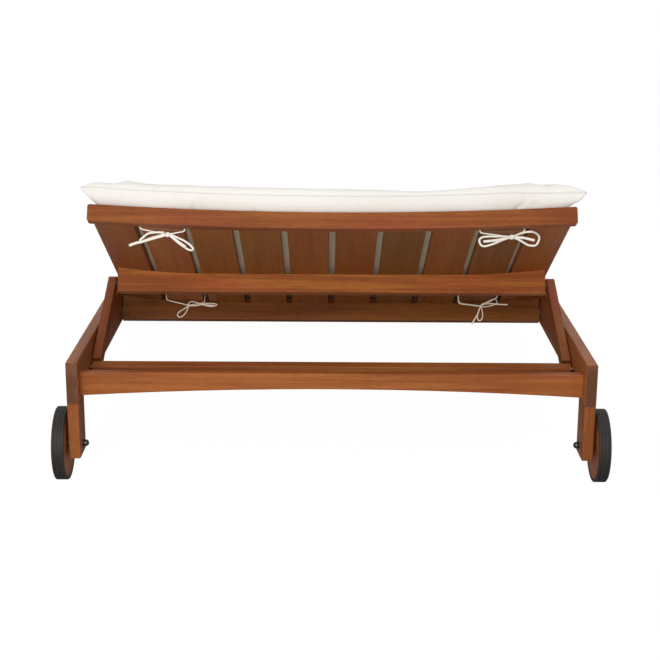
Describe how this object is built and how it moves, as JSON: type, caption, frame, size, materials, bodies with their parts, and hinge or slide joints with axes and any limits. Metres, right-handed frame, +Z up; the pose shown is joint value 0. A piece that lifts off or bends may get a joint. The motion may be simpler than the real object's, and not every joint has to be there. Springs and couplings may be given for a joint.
{
  "type": "double chaise lounger",
  "caption": "Wide two-person slatted hardwood chaise lounger with wheels at the head end, a raised backrest on a folding prop and off-white tied cushions.",
  "frame": {"origin": "on the floor under the middle of the whole lounger's box", "axes": "+X to the right seen from behind the head end, +Y from the head end to the foot end, +Z up"},
  "size_m": [1.4646, 2.049, 0.7499],
  "materials": {
    "frame_wood": "oiled reddish-brown hardwood, satin",
    "slat_wood": "oiled reddish-brown hardwood, satin",
    "dowel_wood": "plain hardwood dowel, matt",
    "wheel_wood": "turned hardwood disc, satin",
    "tyre_rubber": "black rubber, matt",
    "bush_plastic": "black nylon, matt",
    "bolt_steel": "plain steel, satin",
    "washer_steel": "plain steel, satin",
    "pin_steel": "bright steel, satin",
    "cap_nut_black": "black coated steel, semi-gloss",
    "cushion_fabric": "off-white woven outdoor cloth, matt",
    "tie_fabric": "cream cotton tape, matt"
  },
  "bodies": {
    "root": {"side_rail_left": "frame_wood", "side_rail_right": "frame_wood", "head_leg_left": "frame_wood", "head_leg_right": "frame_wood", "foot_leg_left": "frame_wood", "foot_leg_right": "frame_wood", "head_stretcher": "frame_wood", "seat_head_rail": "frame_wood", "seat_mid_rail": "frame_wood", "foot_stretcher": "frame_wood", "seat_slat_1": "slat_wood", "seat_slat_2": "slat_wood", "seat_slat_3": "slat_wood", "seat_slat_4": "slat_wood", "seat_slat_5": "slat_wood", "seat_slat_6": "slat_wood", "seat_slat_7": "slat_wood", "seat_slat_8": "slat_wood", "seat_slat_9": "slat_wood", "seat_slat_10": "slat_wood", "leg_dowels": "dowel_wood", "frame_bolts": "bolt_steel", "back_pivot_bolts": "bolt_steel", "back_pivot_washers": "bush_plastic", "axle_bolts": "bolt_steel", "axle_washers": "washer_steel", "axle_cap_nuts": "cap_nut_black", "seat_cushion": "cushion_fabric"},
    "backrest": {"back_slat_1": "slat_wood", "back_slat_2": "slat_wood", "back_slat_3": "slat_wood", "back_slat_4": "slat_wood", "back_slat_5": "slat_wood", "back_slat_6": "slat_wood", "back_slat_7": "slat_wood", "back_slat_8": "slat_wood", "back_slat_9": "slat_wood", "back_slat_10": "slat_wood", "back_lower_rail": "frame_wood", "back_mid_rail": "frame_wood", "back_top_rail": "frame_wood", "back_cushion": "cushion_fabric", "cushion_ties": "tie_fabric"},
    "prop": {"prop_arm_left": "frame_wood", "prop_arm_right": "frame_wood", "prop_crossbar": "frame_wood", "prop_foot_pins": "pin_steel", "prop_pivot_bolts": "bolt_steel", "prop_pivot_washers": "bush_plastic"},
    "wheel_left": {"wheel_tyre_left": "tyre_rubber", "wheel_disc_left": "wheel_wood", "wheel_bush_left": "bush_plastic"},
    "wheel_right": {"wheel_tyre_right": "tyre_rubber", "wheel_disc_right": "wheel_wood", "wheel_bush_right": "bush_plastic"}
  },
  "joints": [
    {"name": "backrest_raise", "type": "hinge", "parent": "root", "child": "backrest", "pos_m": [0, -0.1355, 0.252], "axis": [-1, 0, 0], "range_deg": [-30, 26]},
    {"name": "prop_swing", "type": "hinge", "parent": "backrest", "child": "prop", "pos_m": [0, -0.4041, 0.40477], "axis": [1, 0, 0], "range_deg": [-53, 46]},
    {"name": "wheel_spin_left", "type": "hinge", "parent": "root", "child": "wheel_left", "pos_m": [-0.708, -0.9275, 0.097], "axis": [1, 0, 0], "continuous": true},
    {"name": "wheel_spin_right", "type": "hinge", "parent": "root", "child": "wheel_right", "pos_m": [0.708, -0.9275, 0.097], "axis": [1, 0, 0], "continuous": true}
  ],
  "couplings": [
    {"joint": "prop_swing", "follows": "backrest_raise", "ratio": 1.76}
  ]
}
